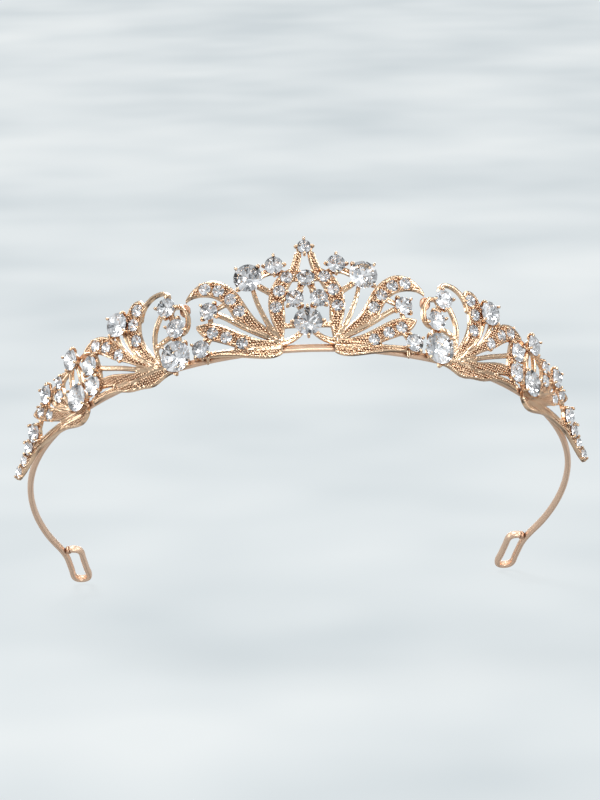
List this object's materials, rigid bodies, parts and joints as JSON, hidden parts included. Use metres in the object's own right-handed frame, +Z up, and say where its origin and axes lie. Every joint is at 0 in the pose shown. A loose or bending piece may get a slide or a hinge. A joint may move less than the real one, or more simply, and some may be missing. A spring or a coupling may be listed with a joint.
{
  "type": "bridal tiara",
  "caption": "Low bridal tiara: pierced fan and leaf castings set with round clear stones on a springy horseshoe band with a hairpin loop at each end.",
  "frame": {"origin": "middle of the band wire's underside at the front centre", "axes": "+Z up, from the band towards the crest's peak; -Y is the way the tiara faces; +Y towards the open ends; +X to the right seen from the front"},
  "size_m": [0.1478, 0.1396, 0.0332],
  "materials": {
    "rose_gold_cast": "polished rose gold plate over a cast, beaded surface",
    "rose_gold_wire": "polished rose gold plated wire",
    "solder": "dull plated solder",
    "rhinestone": "clear cut glass with a silvered back"
  },
  "bodies": {
    "root": {"headband_wire": "rose_gold_wire", "centre_crest_frame": "rose_gold_cast", "centre_solitaire_stone": "rhinestone", "crest_pair_stones": "rhinestone", "crest_upper_stone": "rhinestone", "crest_peak_stone": "rhinestone", "left_side_frame": "rose_gold_cast", "left_tail_frame": "rose_gold_cast", "left_front_solder": "solder", "left_rear_solder": "solder", "left_loop_solder": "solder", "left_arc_leaf_stones": "rhinestone", "left_crest_edge_stones": "rhinestone", "left_crest_round_stone": "rhinestone", "left_crest_shoulder_stone": "rhinestone", "left_junction_stone": "rhinestone", "left_lower_leaf_stones": "rhinestone", "left_scroll_drop_stone": "rhinestone", "left_scroll_leaf_stones": "rhinestone", "left_side_crest_stone": "rhinestone", "left_side_end_stones": "rhinestone", "left_side_large_stone": "rhinestone", "left_side_leaf_stones": "rhinestone", "left_side_pair_stones": "rhinestone", "left_tail_bead_stones": "rhinestone", "left_tail_large_stone": "rhinestone", "left_tail_lead_stone": "rhinestone", "left_tail_leaf_stones": "rhinestone", "left_tail_medium_stones": "rhinestone", "left_tail_tip_stones": "rhinestone", "right_side_frame": "rose_gold_cast", "right_tail_frame": "rose_gold_cast", "right_front_solder": "solder", "right_rear_solder": "solder", "right_loop_solder": "solder", "right_arc_leaf_stones": "rhinestone", "right_crest_edge_stones": "rhinestone", "right_crest_round_stone": "rhinestone", "right_crest_shoulder_stone": "rhinestone", "right_junction_stone": "rhinestone", "right_lower_leaf_stones": "rhinestone", "right_scroll_drop_stone": "rhinestone", "right_scroll_leaf_stones": "rhinestone", "right_side_crest_stone": "rhinestone", "right_side_end_stones": "rhinestone", "right_side_large_stone": "rhinestone", "right_side_leaf_stones": "rhinestone", "right_side_pair_stones": "rhinestone", "right_tail_bead_stones": "rhinestone", "right_tail_large_stone": "rhinestone", "right_tail_lead_stone": "rhinestone", "right_tail_leaf_stones": "rhinestone", "right_tail_medium_stones": "rhinestone", "right_tail_tip_stones": "rhinestone"}
  },
  "joints": []
}
